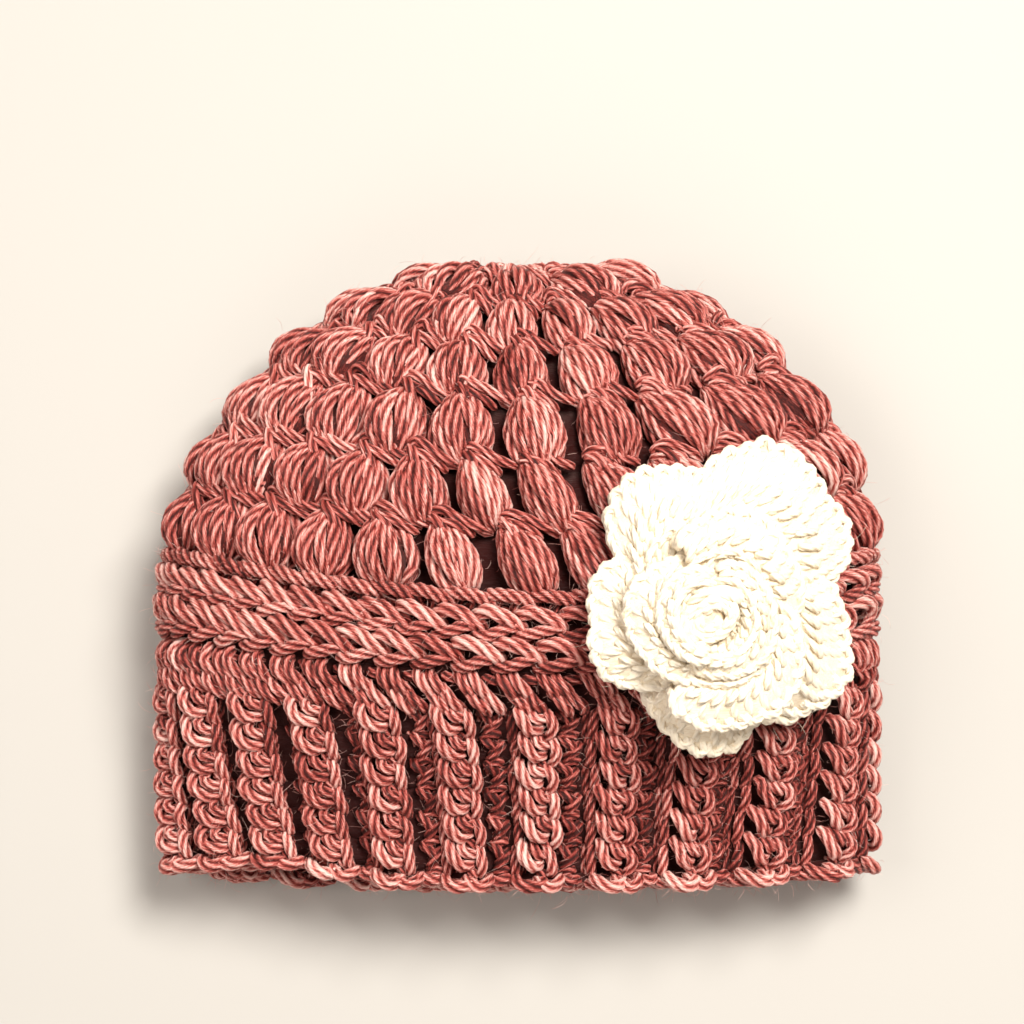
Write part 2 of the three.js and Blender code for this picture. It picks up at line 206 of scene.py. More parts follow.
class Piece:
    """The mesh of one piece: swept strands, fibres and shells, with what the yarn's material reads."""

    def __init__(self, name):
        self.name = name
        self.points, self.faces, self.yarn, self.tone, self.ply_shading = [], [], [], [], []
        self.count = 0
        self.roots = []

    def add(self, points, faces, yarn, tone, ply_shading):
        self.points.append(points.reshape(-1, 3))
        self.faces.append(faces.reshape(-1, 4) + self.count)
        self.yarn.append(yarn.reshape(-1, 3))
        self.tone.append(tone.reshape(-1))
        self.ply_shading.append(ply_shading.reshape(-1))
        self.count += points.size // 3

    def tubes(self, paths, radii, shape, pitch, tone, ends=0.35):
        """Closed tubes along paths of (strands, points, 3), twisted once in every pitch."""
        strands, rings, _ = paths.shape
        sides = len(shape)
        tangent = unit(np.gradient(paths, axis=1))
        normal = np.zeros_like(paths)
        seed = np.where(np.abs(tangent[:, :1, 2:]) < 0.8, [0.0, 0.0, 1.0], [1.0, 0.0, 0.0])
        carried = seed[:, 0]
        for i in range(rings):
            t = tangent[:, i]
            carried = unit(carried - np.sum(carried * t, -1, keepdims=True) * t)
            normal[:, i] = carried
        side = np.cross(tangent, normal)
        gaps = np.linalg.norm(np.diff(paths, axis=1), axis=-1)
        run = np.concatenate([np.zeros((strands, 1)), np.cumsum(gaps, 1)], 1)
        start = rng.uniform(0, 2 * math.pi, (strands, 1))
        twist = (start + 2 * math.pi * run / pitch)[..., None]
        angle = twist + np.linspace(0, 2 * math.pi, sides, endpoint=False)
        closing = np.ones(rings)
        closing[[0, -1]] = ends
        radius = (radii * closing)[..., None] * shape
        cosine, sine = np.cos(angle)[..., None], np.sin(angle)[..., None]
        around = cosine * normal[:, :, None] + sine * side[:, :, None]
        rim = paths[:, :, None] + radius[..., None] * around
        points = np.concatenate([rim.reshape(strands, -1, 3), paths[:, [0, -1]]], 1)
        offset = np.arange(strands)[:, None, None] * (rings * sides + 2)
        ring = np.arange(rings - 1)[:, None] * sides
        a, b = ring + np.arange(sides), ring + (np.arange(sides) + 1) % sides
        wall = np.stack([a, b, b + sides, a + sides], -1).reshape(-1, 4)
        now, after = np.arange(sides), (np.arange(sides) + 1) % sides
        last = (rings - 1) * sides
        first_cap = np.stack([after, now, np.full(sides, rings * sides)], -1)
        last_cap = np.stack([last + now, last + after, np.full(sides, rings * sides + 1)], -1)
        caps = np.concatenate([first_cap, last_cap])
        caps = np.concatenate([caps, np.full((len(caps), 1), -1)], 1)
        faces = np.concatenate([wall, caps])[None] + offset
        faces[:, len(wall):, 3] = -1 - self.count
        shift = rng.uniform(0, YARN_LENGTH, (strands, 1, 1))
        along = np.broadcast_to(run[..., None] + shift, (strands, rings, sides))
        yarn = np.stack([along, np.cos(angle) * radii[..., None], np.sin(angle) * radii[..., None]], -1)
        ends_run, centre = run[:, [0, -1]] + shift[:, 0], np.zeros((strands, 2))
        middle = np.stack([ends_run, centre, centre], -1)
        yarn = np.concatenate([yarn.reshape(strands, -1, 3), middle], 1)
        tone = np.broadcast_to(np.asarray(tone, float).reshape(-1, 1), (strands, rings * sides + 2))
        plied = PLY_LIGHT_AND_SHADE if sides == SIDES else np.zeros(sides)
        ring_shading = np.concatenate([np.tile(plied, rings), [1, 1]])
        skin, out = (grid[:, 2:-2, 1::4].reshape(-1, 3) for grid in (rim, around))
        self.roots.append(np.concatenate([skin, out], 1))
        self.add(points, faces, yarn, tone, np.broadcast_to(ring_shading, tone.shape))

    def strands(self, paths, radius, pitch=PLY_PITCH, tone=None):
        """Plied yarn of one radius, or of a radius for each point."""
        radii = np.broadcast_to(radius, paths.shape[:2])
        if tone is None:
            tone = rng.normal(*LOOSE_TONE, len(paths))
        self.tubes(paths, radii, PLY_SHAPE, pitch, tone)

    def fuzz(self, count, length=FIBRE_LENGTH):
        """Loose fibres that stand out of the yarn and curl."""
        roots = np.concatenate(self.roots)
        pick = roots[rng.choice(len(roots), count)]
        start, out = pick[:, :3], unit(pick[:, 3:] + rng.normal(0, FIBRE_SPREAD, (count, 3)))
        reach = length * rng.gamma(3, 1 / 3, (count, 1))
        curl = rng.normal(0, FIBRE_CURL, (count, 3))
        t = np.linspace(0, 1, FIBRE_POINTS)[:, None]
        bend = unit(out[:, None] + curl[:, None] * (t * 2) + np.cross(out, curl)[:, None] * t**2)
        paths = start[:, None] + np.cumsum(bend, 1) * (reach / FIBRE_POINTS)[:, None]
        paths[..., 2] = np.maximum(paths[..., 2], FIBRE_FLOOR_GAP)
        radii = np.full((count, FIBRE_POINTS), FIBRE_RADIUS)
        self.tubes(paths, radii, np.ones(3), SMOOTH_PITCH, rng.uniform(*FIBRE_TONES, count), 0.5)

    def shell(self, outer, inner, tone, closed=True):
        """A closed band between two grids of (rows, columns, 3). Columns go round the hat if closed."""
        rows, columns, _ = outer.shape
        base = np.arange(rows * columns).reshape(rows, columns)
        if closed:
            base = np.concatenate([base, base[:, :1]], 1)
        top = np.stack([base[:-1, :-1], base[:-1, 1:], base[1:, 1:], base[1:, :-1]], -1).reshape(-1, 4)
        under = top[:, ::-1] + rows * columns
        far = base + rows * columns
        rims = [(base[-1], far[-1]), (far[0], base[0])]
        if not closed:
            rims += [(far[:, -1], base[:, -1]), (base[:, 0], far[:, 0])]
        edge = [np.stack([a[:-1], a[1:], b[1:], b[:-1]], -1) for a, b in rims]
        points = np.concatenate([outer.reshape(-1, 3), inner.reshape(-1, 3)])
        tones = np.broadcast_to(tone, (2, rows, columns)).reshape(-1)
        self.add(points, np.concatenate([top, under, *edge]), points, tones, np.zeros(len(points)))

    def build(self, body, material):
        """The mesh on its body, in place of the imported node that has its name."""
        points, faces = np.concatenate(self.points) * MM, np.concatenate(self.faces)
        three = faces[:, 3] < 0
        size = np.where(three, 3, 4)
        corners = faces.reshape(-1)[np.repeat(~three, 4) | (np.tile([1, 1, 1, 0], len(faces)) == 1)]
        mesh = bpy.data.meshes.new(self.name)
        mesh.vertices.add(len(points))
        mesh.vertices.foreach_set("co", points.reshape(-1))
        mesh.loops.add(len(corners))
        mesh.loops.foreach_set("vertex_index", corners.astype(np.int32))
        mesh.polygons.add(len(faces))
        starts = np.concatenate([[0], np.cumsum(size)[:-1]])
        mesh.polygons.foreach_set("loop_start", starts.astype(np.int32))
        mesh.polygons.foreach_set("loop_total", size.astype(np.int32))
        mesh.polygons.foreach_set("use_smooth", np.ones(len(faces), bool))
        mesh.update(calc_edges=True)
        stored = (
            ("yarn", "FLOAT_VECTOR", self.yarn, "vector"),
            ("tone", "FLOAT", self.tone, "value"),
            ("ply_shading", "FLOAT", self.ply_shading, "value"),
        )
        for name, kind, values, field in stored:
            data = mesh.attributes.new(name, kind, "POINT")
            data.data.foreach_set(field, np.concatenate(values).astype(np.float32).reshape(-1))
        mesh.materials.append(material)
        obj = bpy.data.objects.new(self.name, mesh)
        bpy.context.scene.collection.objects.link(obj)
        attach(obj, body)
        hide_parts(self.name)


# ------------------------------------------------------------------ yarn materials
def yarn_material(name, colours, roughness, sheen, bump, contrast, shade):
    """Plied yarn: streaks along the strand, tone from strand to strand, painted shade in the grooves between
    plies and a painted highlight on the plies' crests.
    """
    material = bpy.data.materials.new(name)
    material.use_nodes = True
    tree = material.node_tree
    nodes, links = tree.nodes, tree.links
    shader = nodes["Principled BSDF"]
    shader.inputs["Specular IOR Level"].default_value = 0.25
    shader.inputs["Sheen Weight"].default_value = sheen
    shader.inputs["Sheen Roughness"].default_value = 0.4
    shader.inputs["Sheen Tint"].default_value = (*colours[-1][1], 1)

    def add(kind, **values):
        node = nodes.new(kind)
        for key, value in values.items():
            if key in node.inputs:
                node.inputs[key].default_value = value
            else:
                setattr(node, key, value)
        return node

    def maths(operation, first, second):
        node = add("ShaderNodeMath", operation=operation)
        for socket, value in zip(node.inputs, (first, second)):
            if isinstance(value, (int, float)):
                socket.default_value = value
            else:
                links.new(value, socket)
        return node.outputs[0]

    yarn = add("ShaderNodeAttribute", attribute_name="yarn").outputs["Vector"]
    tone = add("ShaderNodeAttribute", attribute_name="tone").outputs["Fac"]
    ply_shading = add("ShaderNodeAttribute", attribute_name="ply_shading").outputs["Fac"]
    stretch = add("ShaderNodeMapping")
    stretch.inputs["Scale"].default_value = (0.12, 3.0, 3.0)
    links.new(yarn, stretch.inputs["Vector"])
    streaks = add("ShaderNodeTexNoise", Scale=1.5, Detail=4.0, Roughness=0.65)
    links.new(stretch.outputs["Vector"], streaks.inputs["Vector"])
    patches = add("ShaderNodeTexNoise", Scale=0.22, Detail=2.0)
    links.new(yarn, patches.inputs["Vector"])
    streak = maths("MULTIPLY", maths("SUBTRACT", streaks.outputs["Fac"], 0.5), contrast)
    patch = maths("MULTIPLY", maths("SUBTRACT", patches.outputs["Fac"], 0.5), 0.3)
    fac = maths("ADD", maths("ADD", streak, patch), tone)
    # Painted shade in the ply grooves, painted highlight on the ply crests.
    fac = maths("SUBTRACT", fac, maths("MULTIPLY", ply_shading, shade))
    ramp = add("ShaderNodeValToRGB")
    stops = ramp.color_ramp.elements
    for place, colour in colours[1:-1]:
        stops.new(place).color = (*colour, 1)
    stops[0].color, stops[-1].color = (*colours[0][1], 1), (*colours[-1][1], 1)
    links.new(fac, ramp.inputs["Fac"])
    links.new(ramp.outputs["Color"], shader.inputs["Base Color"])
    uneven = maths("MULTIPLY", streaks.outputs["Fac"], 0.2)
    links.new(maths("ADD", uneven, roughness - 0.1), shader.inputs["Roughness"])
    fibres = add("ShaderNodeBump", Strength=bump, Distance=0.0005)
    links.new(streaks.outputs["Fac"], fibres.inputs["Height"])
    links.new(fibres.outputs["Normal"], shader.inputs["Normal"])
    return material


PINKS = (
    (0.0, (0.035, 0.003, 0.002)),
    (0.3, (0.23, 0.027, 0.020)),
    (0.55, (0.58, 0.143, 0.115)),
    (1.0, (1.0, 0.68, 0.60)),
)
CREAMS = (
    (0.0, (0.76, 0.59, 0.39)),
    (0.25, (0.90, 0.79, 0.61)),
    (0.5, (0.94, 0.84, 0.67)),
    (1.0, (0.97, 0.88, 0.73)),
)
PINK = yarn_material("rose_pink_yarn", PINKS, 0.42, 0.08, 0.8, 1.8, 0.46)
CREAM = yarn_material("cream_yarn", CREAMS, 0.65, 0.2, 0.5, 1.2, 0.2)


# ------------------------------------------------------------------ stitches on the hat
DRIFT_END = 44.0  # how far up the front the ribs' lean reaches
DRIFT, DRIFT_SPREAD = 1.2, 3.2


def drift(along, turn):
    """How far the ribs lean to the right, in millimetres, growing towards the brim's edge."""
    across = np.cos((turn - 0.25) * 2 * math.pi)  # 1 at +X, -1 at -X
    below = np.clip((DRIFT_END - along) / DRIFT_END, 0, 1)
    return below * (DRIFT - DRIFT_SPREAD * across)


def place(local, turn, along, around):
    """Stitch coordinates (stitches, points, 3) onto the wall, at a round of the perimeter around."""
    up = along[:, None] + local[..., 1]
    to_right = local[..., 0] + drift(up, turn[:, None])
    return on_wall(up, turn[:, None] - to_right / around, -local[..., 2])


def lay(piece, corners, radius, turn, along, around, scale=1.0, tone=None, loose=0.16, pitch=PLY_PITCH):
    """One strand of a stitch, at every stitch of a round."""
    corners = np.array(corners, float)
    corners[:, 0] *= scale
    length = np.linalg.norm(np.diff(corners, axis=0), axis=1).sum()
    count = max(int(length / STEP), 5)
    shapes = corners[None] + rng.normal(0, loose, (len(turn), *corners.shape))
    points = np.einsum("ij,sjk->sik", spline(len(corners), count), shapes)
    taper = 1 - STRAND_TAPER * np.abs(np.linspace(-1, 1, count)) ** 4
    paths = place(points, turn, np.broadcast_to(along, turn.shape), around)
    radii = np.broadcast_to(radius * taper, paths.shape[:2])
    piece.strands(settle(paths, radii), radii, pitch, tone)


def settle(paths, radii):
    """Keeps a strand above the surface that the hat lies on."""
    paths[..., 2] = np.maximum(paths[..., 2], radii + FLOOR_GAP)
    return paths


# How wide the stitches are at turns round the hat, relative to each other.
SPACING_AT = (0.0, 0.25, 0.4, 0.5, 0.6, 0.68, 0.75, 0.85, 1.0)
SPACING = (1.02, 1.0, 1.1, 1.1, 0.95, 0.78, 0.78, 1.0, 1.02)
TURN_SPREAD = 0.02


def spacing():
    """The share of a round's stitches that lie before each turn."""
    turn = np.linspace(0, 1, 401)
    share = np.cumsum(1 / np.interp(turn, SPACING_AT, SPACING))
    return turn, (share - share[0]) / (share[-1] - share[0])


TURN, SHARE = spacing()


def turns(count, phase):
    """Where a round's stitches stand, counted from the middle of the front."""
    place_in_row = np.arange(count) + phase + rng.normal(0, TURN_SPREAD, count)
    share = np.interp(0.5, TURN, SHARE) + place_in_row / count
    return np.interp(share % 1, SHARE, TURN)


# The lining's tone is painted shade: near black, for the shaded hollows behind the raised stitches.
PAINTED_LINING_SHADE, LINING_ROUGHNESS = -2.0, 0.15


def lining(piece, along, height, outer, inner, rows=4, columns=180):
    """The inside of the fabric behind its raised stitches, between two depths, painted near black as shade.
    """
    heights, columns_at = np.linspace(along, along + height, rows), np.arange(columns) / columns
    up, turn = np.meshgrid(heights, columns_at, indexing="ij")
    rough = rng.normal(0, LINING_ROUGHNESS, up.shape)
    top, low = on_wall(up, turn, outer + rough), on_wall(up, turn, np.full(up.shape, float(inner)))
    piece.shell(top, low, PAINTED_LINING_SHADE)


# Each strand of a stitch: its corners (right, up, out), then its radius, ply pitch and tone. Strands set
# deeper in the fabric have lower tones, which is painted shade.
RIDGE = (
    (
        [(-3.0, 7.4, -3.4), (-3.1, 6.2, -1.9), (-2.7, 4.4, -1.0), (-1.9, 2.7, -0.9),
         (-0.5, 1.6, -1.4), (0.8, 2.0, -2.6), (1.4, 2.8, -3.8)],
        1.4, 15, 0.6,
    ),
    (
        [(-0.8, 7.2, -3.4), (-0.5, 5.9, -2.0), (0.2, 4.7, -1.4), (1.4, 4.1, -1.7), (2.4, 4.4, -2.8),
         (2.8, 5.0, -3.8)],
        1.2, 12, 0.5,
    ),
    (
        [(2.9, -0.6, -3.6), (3.6, 0.9, -2.2), (3.8, 2.8, -1.8), (3.2, 4.8, -2.2), (2.2, 6.2, -3.4)],
        1.25, 12, 0.55,
    ),
    ([(-4.3, -1.0, -4.2), (-4.5, 1.4, -3.4), (-4.4, 4.0, -3.4), (-3.9, 6.4, -4.2)], 1.15, 12, 0.35),
    ([(0.2, 0.6, -3.6), (1.4, 0.2, -2.9), (2.6, -0.6, -3.4)], 1.0, 10, 0.4),
)
VALLEY = (
    ([(5.0, 6.4, -5.4), (6.2, 5.6, -4.3), (7.6, 4.2, -4.3), (8.6, 2.6, -5.4)], 1.2, 12, 0.3),
    ([(9.9, 5.4, -5.6), (8.9, 3.8, -4.5), (7.4, 2.0, -4.5), (6.2, 0.6, -5.6)], 1.2, 12, 0.26),
    ([(9.8, 0.4, -5.2), (8.6, 0.9, -4.6), (6.6, 0.2, -4.6), (5.4, -0.8, -5.4)], 1.1, 12, 0.3),
)
EDGE = (
    (
        [(-5.2, 3.6, -3.2), (-3.8, 1.9, -1.8), (-1.6, 0.9, -1.1), (0.6, 1.3, -1.4),
         (2.0, 3.0, -2.8)],
        1.45, 14, 0.65,
    ),
    (
        [(-0.6, 3.2, -3.2), (1.0, 1.6, -1.7), (3.0, 1.0, -1.4), (4.9, 2.0, -2.3), (5.8, 3.8, -3.6)],
        1.35, 14, 0.6,
    ),
    ([(4.6, 3.0, -4.4), (6.4, 2.3, -3.5), (8.4, 2.3, -3.5), (10.4, 3.2, -4.4)], 1.35, 12, 0.45),
    ([(-6.0, 1.9, -4.6), (-2.5, 1.3, -4.3), (1.2, 1.2, -4.3), (5.2, 1.9, -4.7)], 1.35, 12, 0.55),
    ([(4.8, 2.0, -5.5), (7.6, 2.3, -5.7), (10.4, 1.9, -5.5)], 1.25, 12, 0.45),
)
JOIN = (
    (
        [(-4.4, 8.4, -4.2), (-3.7, 7.2, -2.3), (-2.5, 5.5, -1.3), (-1.1, 4.0, -1.8),
         (-0.2, 3.1, -3.6)],
        1.35, 14, 0.5,
    ),
    (
        [(-1.8, 8.6, -4.2), (-1.0, 7.4, -2.3), (0.2, 5.7, -1.2), (1.6, 4.2, -1.7),
         (2.5, 3.3, -3.6)],
        1.35, 14, 0.5,
    ),
    (
        [(-2.5, 5.0, -4.0), (-1.3, 3.6, -2.4), (0.3, 1.8, -1.6), (1.7, 0.2, -2.2),
         (2.4, -0.8, -3.8)],
        1.3, 14, 0.5,
    ),
    (
        [(0.5, 5.4, -4.0), (1.7, 4.0, -2.4), (3.3, 2.2, -1.7), (4.7, 0.8, -2.4), (5.4, -0.2, -4.0)],
        1.3, 14, 0.5,
    ),
    ([(0.6, 7.4, -4.0), (2.2, 7.0, -3.1), (4.0, 6.7, -3.3), (5.2, 6.9, -4.4)], 1.1, 12, 0.35),
)
BRAID = (
    (
        [(-5.2, 4.5, -4.2), (-4.0, 5.4, -2.2), (-1.8, 5.6, -1.0), (1.0, 4.7, -0.8),
         (3.4, 3.5, -1.5), (4.8, 2.6, -3.0), (5.3, 2.2, -4.4)],
        1.62, 17, 0.6,
    ),
    (
        [(-5.3, 0.9, -4.4), (-4.0, 0.7, -2.5), (-1.5, 1.0, -1.4), (1.2, 1.9, -1.3),
         (3.6, 2.9, -2.1), (5.0, 3.5, -4.2)],
        1.4, 10, 0.5,
    ),
    ([(-4.4, 7.2, -5.6), (-1.5, 6.7, -4.9), (1.5, 6.5, -4.9), (4.4, 6.8, -5.6)], 1.2, 12, 0.25),
)
ROPE = (
    (
        [(-5.4, 2.8, -3.8), (-4.0, 2.8, -2.3), (-1.2, 2.6, -1.3), (1.8, 2.1, -1.3),
         (4.2, 1.6, -2.3), (5.6, 1.3, -3.8)],
        1.55, 9, 0.55,
    ),
    ([(-3.6, -1.6, -4.8), (-3.2, 0.0, -4.0), (-2.8, 1.6, -4.0), (-2.6, 3.2, -4.8)], 1.25, 12, 0.28),
    ([(0.6, -1.6, -4.8), (0.9, 0.0, -4.0), (1.2, 1.6, -4.0), (1.0, 3.2, -4.8)], 1.25, 12, 0.28),
)
CHAIN = (
    (
        [(-1.0, 0.6, -3.4), (0.4, 1.3, -2.0), (2.4, 1.3, -1.2), (4.8, 0.7, -1.4), (7.6, -0.3, -2.2),
         (10.6, -1.0, -2.8), (13.4, -0.8, -4.6)],
        1.1, 17, 0.5,
    ),
    (
        [(-0.8, -0.6, -3.2), (0.8, -0.6, -1.9), (2.8, -1.0, -1.5), (5.2, -1.5, -1.9),
         (7.6, -2.2, -3.2), (9.4, -2.6, -4.8)],
        1.1, 17, 0.45,
    ),
)
FLANK = (
    (
        [(-0.4, 0.6, -2.6), (1.4, -0.6, -1.3), (3.2, -2.6, -1.2), (4.6, -5.2, -2.2),
         (5.0, -7.4, -4.0)],
        1.15, 26, 0.42,
    ),
)
# The widths that the stitches above are drawn for: a round's, a rib's and a puff's.
ROUND_STITCH, RIB_STITCH, PUFF_STITCH = 8.0, 15.4, 14.3
STITCH_LOOSE = 0.13  # how far a band's stitches stray from each other
EDGE_BACK, RIDGE_BACK, VALLEY_BACK = 10.6, 9.4, 12.6  # depths of the inner face's strands
BAND_LINING, RIB_LINING, PUFF_LINING, CLOSING_LINING = (4.6, 6.6), (5.6, 6.6), (7.4, 8.5), (3.8, 8.0)
BAND_FIBRES, EDGE_FIBRES, PUFF_FIBRES, CLOSING_FIBRES = 1300, 1700, 26, 120
BAND_FIBRE_LENGTH = 2.3
EDGE_RECESS = 2.0  # how far the edging's lining starts inside the mouth
RIB_PHASE = 0.8
CLOSING_STITCHES = 8


def behind(strands, depth):
    """The same strands mirrored onto the fabric's inner face, half a rib further on."""
    return [
        ([(RIB_STITCH / 2 - right, up, -depth - out) for right, up, out in corners], *yarn)
        for corners, *yarn in strands
    ]


def band(
    name, along, height, strands, count, width, phase=0.0, depths=BAND_LINING, fibres=BAND_FIBRES, recess=0.0
):
    """A round of the fabric from its stitch's strands, drawn for a width."""
    piece = Piece(name)
    around = float(perimeter(along + height / 2))
    turn = turns(count, phase)
    for corners, radius, pitch, tone in strands:
        shade = rng.normal(tone, TONE_SPREAD, count)
        scale = around / count / width
        lay(piece, corners, radius, turn, along, around, scale, shade, STITCH_LOOSE, pitch)
    lining(piece, along + recess, height - recess, *depths)
    piece.fuzz(fibres, BAND_FIBRE_LENGTH)
    piece.build("hat", PINK)


# The lowest puffs' lean from the meridian, in degrees, at turns round the hat: most on the right.
LEAN_AT = (0.0, 0.22, 0.34, 0.42, 0.5, 0.56, 0.62, 0.76, 1.0)
LEAN = (20, 32, 40, 40, 35, 24, 11, 3, 20)
# A puff's width up its axis, relative to its widest place.
BODY_AT = (0.0, 0.1, 0.22, 0.38, 0.55, 0.7, 0.82, 0.92, 1.0)
BODY = (0.26, 0.62, 0.92, 1.0, 0.92, 0.7, 0.46, 0.24, 0.1)
PUFF_RINGS, PUFF_STRANDS, PUFF_STRAND = 15, 9, 1.45
PUFF_ARC = 106  # degrees to each side of the crest that the strands cover
PUFF_FOOT, PUFF_EXTRA = -1.2, 1.6  # where a puff starts, and how much longer than its round it is
PUFF_WIDE, PUFF_DEEP, PUFF_BASE, PUFF_BELLY = 0.46, 5.0, -4.8, 0.8
PUFF_CORE = 0.85
# The core's tone is painted shade: almost black, inside each puff between its strands.
PAINTED_CORE_SHADE = 0.02


def puffs(piece, along, height, turn, pitch, around, lean):
    """Bundles of loose strands, drawn in at the foot and the tip, with the chain to the next puff."""
    count = len(turn)
    lean = lean * np.radians(np.interp(turn, LEAN_AT, LEAN))
    lean = (lean + rng.normal(0, 0.05, count))[:, None]
    t = np.linspace(0, 1, PUFF_RINGS)
    span = height + PUFF_EXTRA
    wide = (PUFF_WIDE * pitch * np.cos(lean) - 1.0) * rng.normal(1, 0.05, (count, 1))
    deep = PUFF_DEEP * rng.normal(1, 0.07, (count, 1))
    base = PUFF_BASE + PUFF_BELLY * np.sin(math.pi * t)

    steady = np.broadcast_to(t, (count, PUFF_RINGS))
    up, right = PUFF_FOOT + span * steady, (0.5 - steady) * span * np.tan(lean)
    body = np.interp(steady, BODY_AT, BODY)
    strand = np.broadcast_to(PUFF_STRAND * (0.7 + 0.3 * np.sin(math.pi * t) ** 0.5), steady.shape)
    for degrees in np.linspace(-PUFF_ARC, PUFF_ARC, PUFF_STRANDS):
        start = math.radians(degrees) + rng.normal(0, 0.08, (count, 1))
        angle = start + rng.normal(-0.25, 0.25, (count, 1)) * (t - 0.5)
        swell = rng.normal(1, 0.05, (count, 1))
        side = wide * np.sin(angle) * body * swell
        out = base + deep * np.cos(angle) * body * swell
        local = np.stack([right + side * np.cos(lean), up + side * np.sin(lean), out], -1)
        paths = place(local, turn, np.full(count, along), around)
        piece.strands(settle(paths, strand), strand, PUFF_PITCH)
    # A dark core inside the puff: painted shade between its loose strands.
    core = np.stack([right, up, base - 0.5 + 0 * steady], -1)
    paths = place(core, turn, np.full(count, along), around)
    radii = np.minimum(wide, deep) * PUFF_CORE * np.interp(t, BODY_AT, BODY)
    piece.tubes(settle(paths, radii), radii, np.ones(8), SMOOTH_PITCH, np.full(count, PAINTED_CORE_SHADE))
    tip = np.tan(lean[:, 0]) * span / 2
    at_tip = (turn + tip / around) % 1
    for corners, radius, twist, tone in CHAIN + FLANK:
        corners = np.array(corners) * [pitch / PUFF_STITCH, 1, 1] + [0, height, 0]
        shade = rng.normal(tone, TONE_SPREAD, count)
        lay(piece, corners, radius, at_tip, along, around, tone=shade, pitch=twist)


def puff_round(name, along, height, count, phase, lean):
    """A round of puffs, with its lining painted dark as shade."""
    piece = Piece(name)
    around = float(perimeter(along + height / 2))
    turn = turns(count, phase)
    puffs(piece, along, height, turn, around / count, around, lean)
    lining(piece, along, height, *PUFF_LINING)
    piece.fuzz(PUFF_FIBRES * count)
    piece.build("hat", PINK)


def closing_round(along):
    """The stitches that gather the crown's tip."""
    piece = Piece("crown_closing")
    turn = turns(CLOSING_STITCHES, 0.5)
    around = float(perimeter(along))
    scale = around / CLOSING_STITCHES / ROUND_STITCH
    for corners, radius, *_ in JOIN[:4]:
        short = [(right * scale, up * 0.7, out - 1.0) for right, up, out in corners]
        lay(piece, short, radius, turn, along, around)
    lining(piece, along, ALONG_TOTAL - along, *CLOSING_LINING, rows=6, columns=48)
    piece.fuzz(CLOSING_FIBRES)
    piece.build("hat", PINK)


def make_hat():
    """All the hat's rounds, from the brim's edge to the crown's tip."""
    edge = [*EDGE, *behind(EDGE[:3], EDGE_BACK)]
    extras = dict(fibres=EDGE_FIBRES, recess=EDGE_RECESS)
    band("brim_edge", 0.0, EDGE_HEIGHT, edge, RIBS, RIB_STITCH, RIB_PHASE, **extras)
    along = EDGE_HEIGHT
    ribs = [*RIDGE, *VALLEY, *behind(RIDGE[:4], RIDGE_BACK), *behind(VALLEY, VALLEY_BACK)]
    for i in range(RIB_ROUNDS):
        band(f"rib_round_{i + 1}", along, RIB_HEIGHT, ribs, RIBS, RIB_STITCH, RIB_PHASE, RIB_LINING)
        along += RIB_HEIGHT
    band("join_round", along, JOIN_HEIGHT, JOIN, BAND_STITCHES, ROUND_STITCH)
    along += JOIN_HEIGHT
    for name, phase in (("braid_lower", 0.0), ("braid_upper", 0.5)):
        band(name, along, BRAID_HEIGHT, BRAID, BAND_STITCHES, ROUND_STITCH, phase)
        along += BRAID_HEIGHT
    band("plain_round", along, PLAIN_HEIGHT, ROPE, BAND_STITCHES, ROUND_STITCH, 0.25)
    along += PLAIN_HEIGHT
    left = ALONG_TOTAL - along - CLOSING_HEIGHT
    rounds = zip(PUFF_HEIGHTS, PUFF_COUNTS, PUFF_PHASES, PUFF_LEANS)
    for i, (height, count, phase, lean) in enumerate(rounds):
        height *= left / sum(PUFF_HEIGHTS)
        puff_round(f"puff_round_{i + 1}", along, height, count, phase, lean)
        along += height
    closing_round(along)


ALONG_TOTAL = float(ALONG[-1])
make_hat()


# ------------------------------------------------------------------ the rose
ROSE_TILT = math.radians(10)
ROSE_FOOT = (35.0, -11.6)
SHOULDER = 0.34
LAP = 5.0  # degrees that neighbouring petals overlap
# The layers: the radius the petals start at, the heights of their foot and edge, the arch between, how
# far the root dips and the edge curls, and the ripple of the edge.
OUTER = dict(start=5.0, low=6.6, high=7.6, crown=2.0, root=2.2, curl=1.2, frill=0.9)
MIDDLE = dict(start=4.6, low=11.6, high=14.0, crown=1.6, root=4.0, curl=2.4, frill=0.6)
INNER = dict(start=4.4, low=16.0, high=17.2, crown=1.0, root=4.0, curl=1.2, frill=0.4)
# The petals: first and last degree, reach, droop, how much further one side reaches, and layer.
PETALS = {
    "outer_petal_1": (18, 84, 40.0, 6.0, 0.0, OUTER),
    "outer_petal_2": (84, 141, 31.0, 3.5, -0.14, OUTER),
    "outer_petal_3": (141, 239, 22.0, 2.0, -0.07, OUTER),
    "outer_petal_4": (239, 310, 25.5, 4.5, 0.1, OUTER),
    "outer_petal_5": (310, 378, 33.0, 5.0, 0.03, OUTER),
    "middle_petal_1": (0, 105, 22.5, 0.0, 0.0, MIDDLE),
    "middle_petal_2": (105, 250, 15.5, 0.0, 0.0, MIDDLE),
    "middle_petal_3": (250, 360, 22.5, 0.0, 0.0, MIDDLE),
    "inner_petal_1": (75, 255, 10.5, 0.0, 0.0, INNER),
    "inner_petal_2": (255, 435, 13.0, 0.0, 0.0, INNER),
}
POST_WIDTH, POST_SHARE, POST_RADIUS, WRAP_RADIUS = 2.5, 0.86, 1.3, 0.85
ROW_RADIUS, LOOP_WIDTH, LOOP_RADIUS = 0.95, 2.9, 1.1
# The petal lining's tone, lower than the strands', is painted shade in the gaps between them.
PETAL_LINING, PAINTED_PETAL_SHADE = 0.75, 0.25  # half its thickness, and its tone


